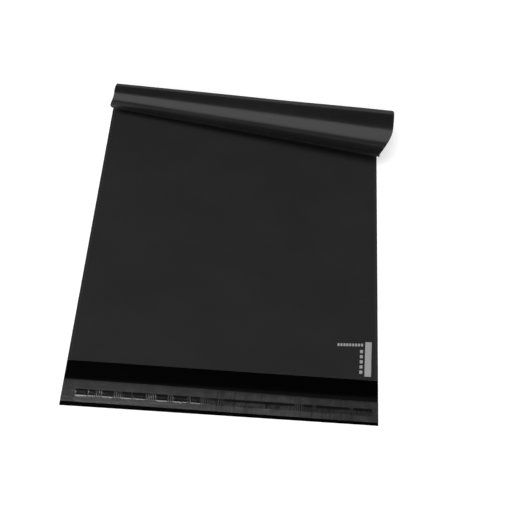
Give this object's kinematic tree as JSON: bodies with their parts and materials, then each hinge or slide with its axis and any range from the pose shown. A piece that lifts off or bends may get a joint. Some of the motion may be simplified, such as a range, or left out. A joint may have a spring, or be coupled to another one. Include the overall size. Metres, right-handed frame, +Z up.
{
  "type": "poly mailer bag",
  "caption": "Flat black film mailing bag with an adhesive closing lip under a release liner, its bottom end loosely rolled over.",
  "frame": {"origin": "under the middle of the bag's bounding box, on the surface that it lies on", "axes": "+X across the bag, +Y from the closing lip to the rolled bottom end, +Z up, away from the surface"},
  "size_m": [0.2614, 0.2976, 0.0479],
  "materials": {
    "black_film": "satin co-extruded polyethylene film",
    "adhesive": "glossy clear hot-melt on black film",
    "liner": "translucent siliconised film"
  },
  "bodies": {
    "root": {"bag_film": "black_film", "adhesive_strip": "adhesive", "release_liner": "liner"}
  },
  "joints": []
}
